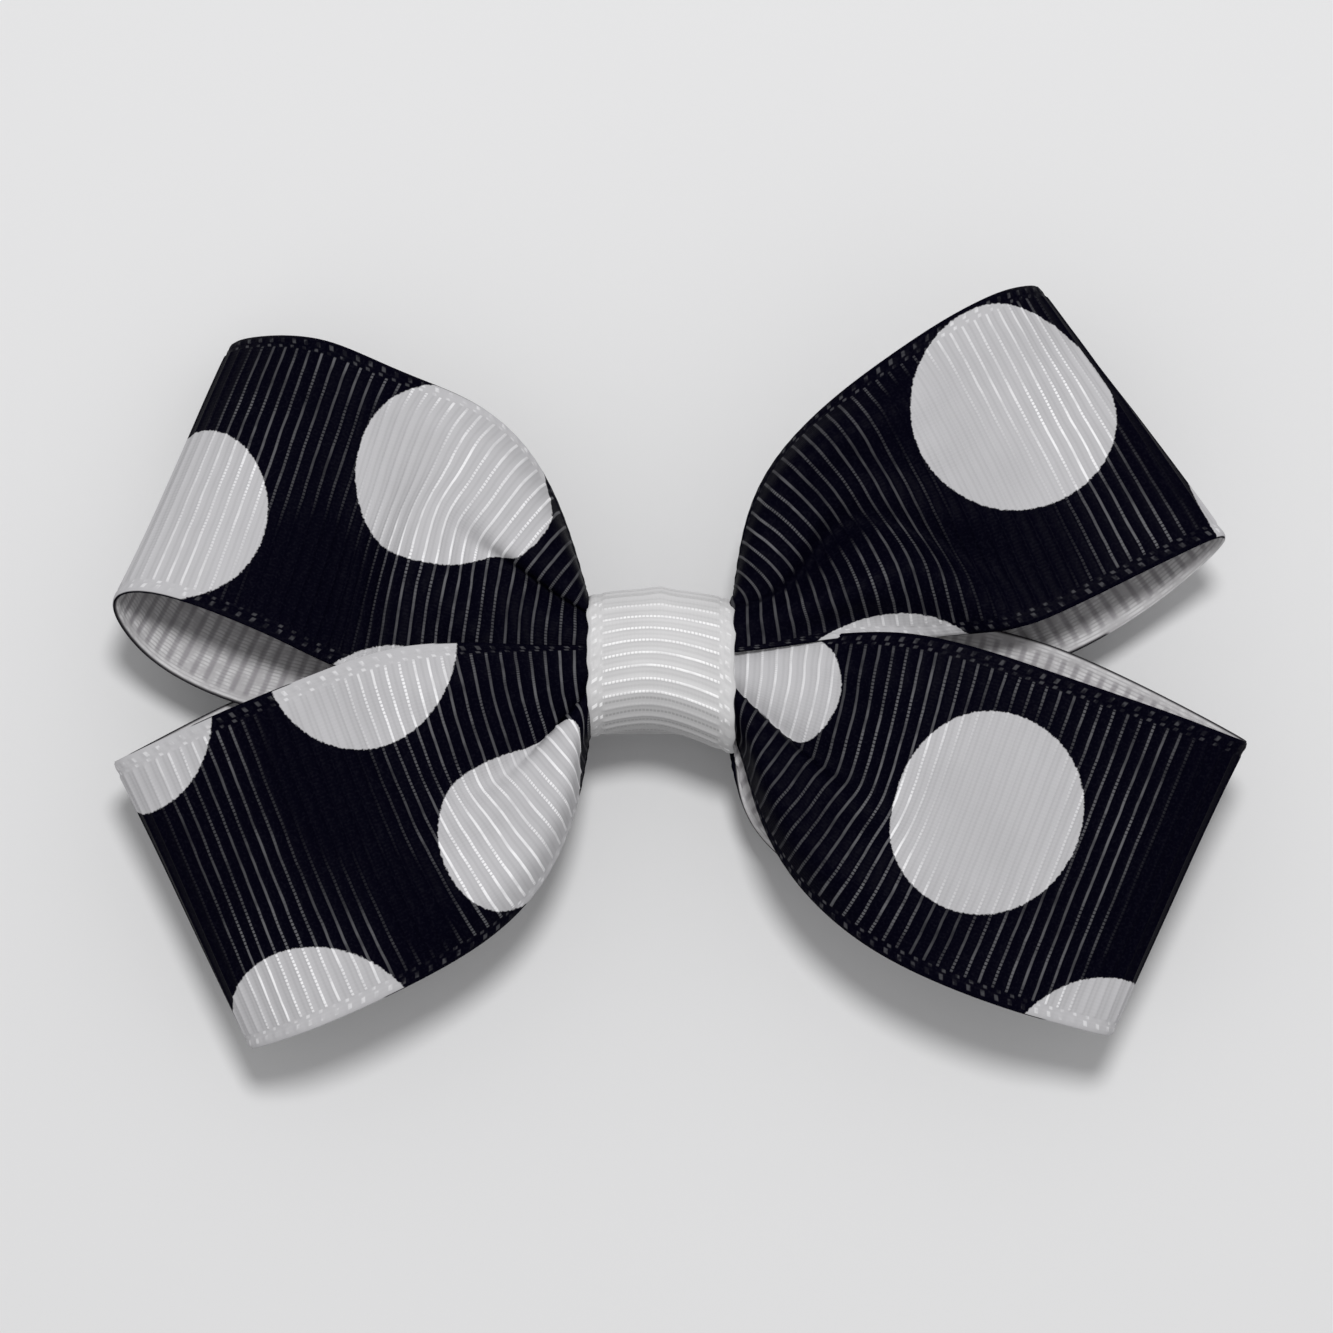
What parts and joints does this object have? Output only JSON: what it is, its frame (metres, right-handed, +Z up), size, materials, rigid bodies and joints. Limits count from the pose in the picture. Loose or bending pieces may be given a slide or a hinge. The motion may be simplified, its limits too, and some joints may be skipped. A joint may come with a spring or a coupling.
{
  "type": "hair bow",
  "caption": "Pinwheel hair bow of wide black grosgrain ribbon with large white dots, white ribbon centre wrap, on a sprung alligator clip.",
  "frame": {"origin": "on the knot's vertical centre line, on the flat underside of the clip's lower jaw, which is what the bow rests on", "axes": "+Z up out of the bow's face, +X along the bow's length with the clip's toothed tip towards -X and its handles towards +X, +Y across the bow"},
  "size_m": [0.0798, 0.0529, 0.0164],
  "materials": {
    "dotted_ribbon": "black ribbed grosgrain with large white dots outside, plain white inside",
    "plain_ribbon": "white ribbed grosgrain",
    "thread": "white polyester thread",
    "hot_glue": "milky hot glue",
    "clip_steel": "nickel-plated stamped steel",
    "rivet_steel": "nickel-plated rivet",
    "spring_steel": "bright spring wire"
  },
  "bodies": {
    "bow": {"loop_upper_left": "dotted_ribbon", "loop_upper_right": "dotted_ribbon", "loop_lower_left": "dotted_ribbon", "loop_lower_right": "dotted_ribbon", "centre_wrap": "plain_ribbon", "tie_thread": "thread", "glue_pad": "hot_glue", "clip_upper_jaw": "clip_steel", "clip_hinge_pin": "rivet_steel", "clip_spring": "spring_steel"},
    "lower_jaw": {"clip_lower_jaw": "clip_steel"}
  },
  "joints": [
    {"name": "jaw_hinge", "type": "hinge", "parent": "bow", "child": "lower_jaw", "pos_m": [0.0095, 0, 0.0029], "axis": [0, -1, 0], "range_deg": [0, 18], "stiffness_Nm_per_rad": 0.08, "springref_deg": -34.38, "deforming": ["clip_spring"]}
  ]
}
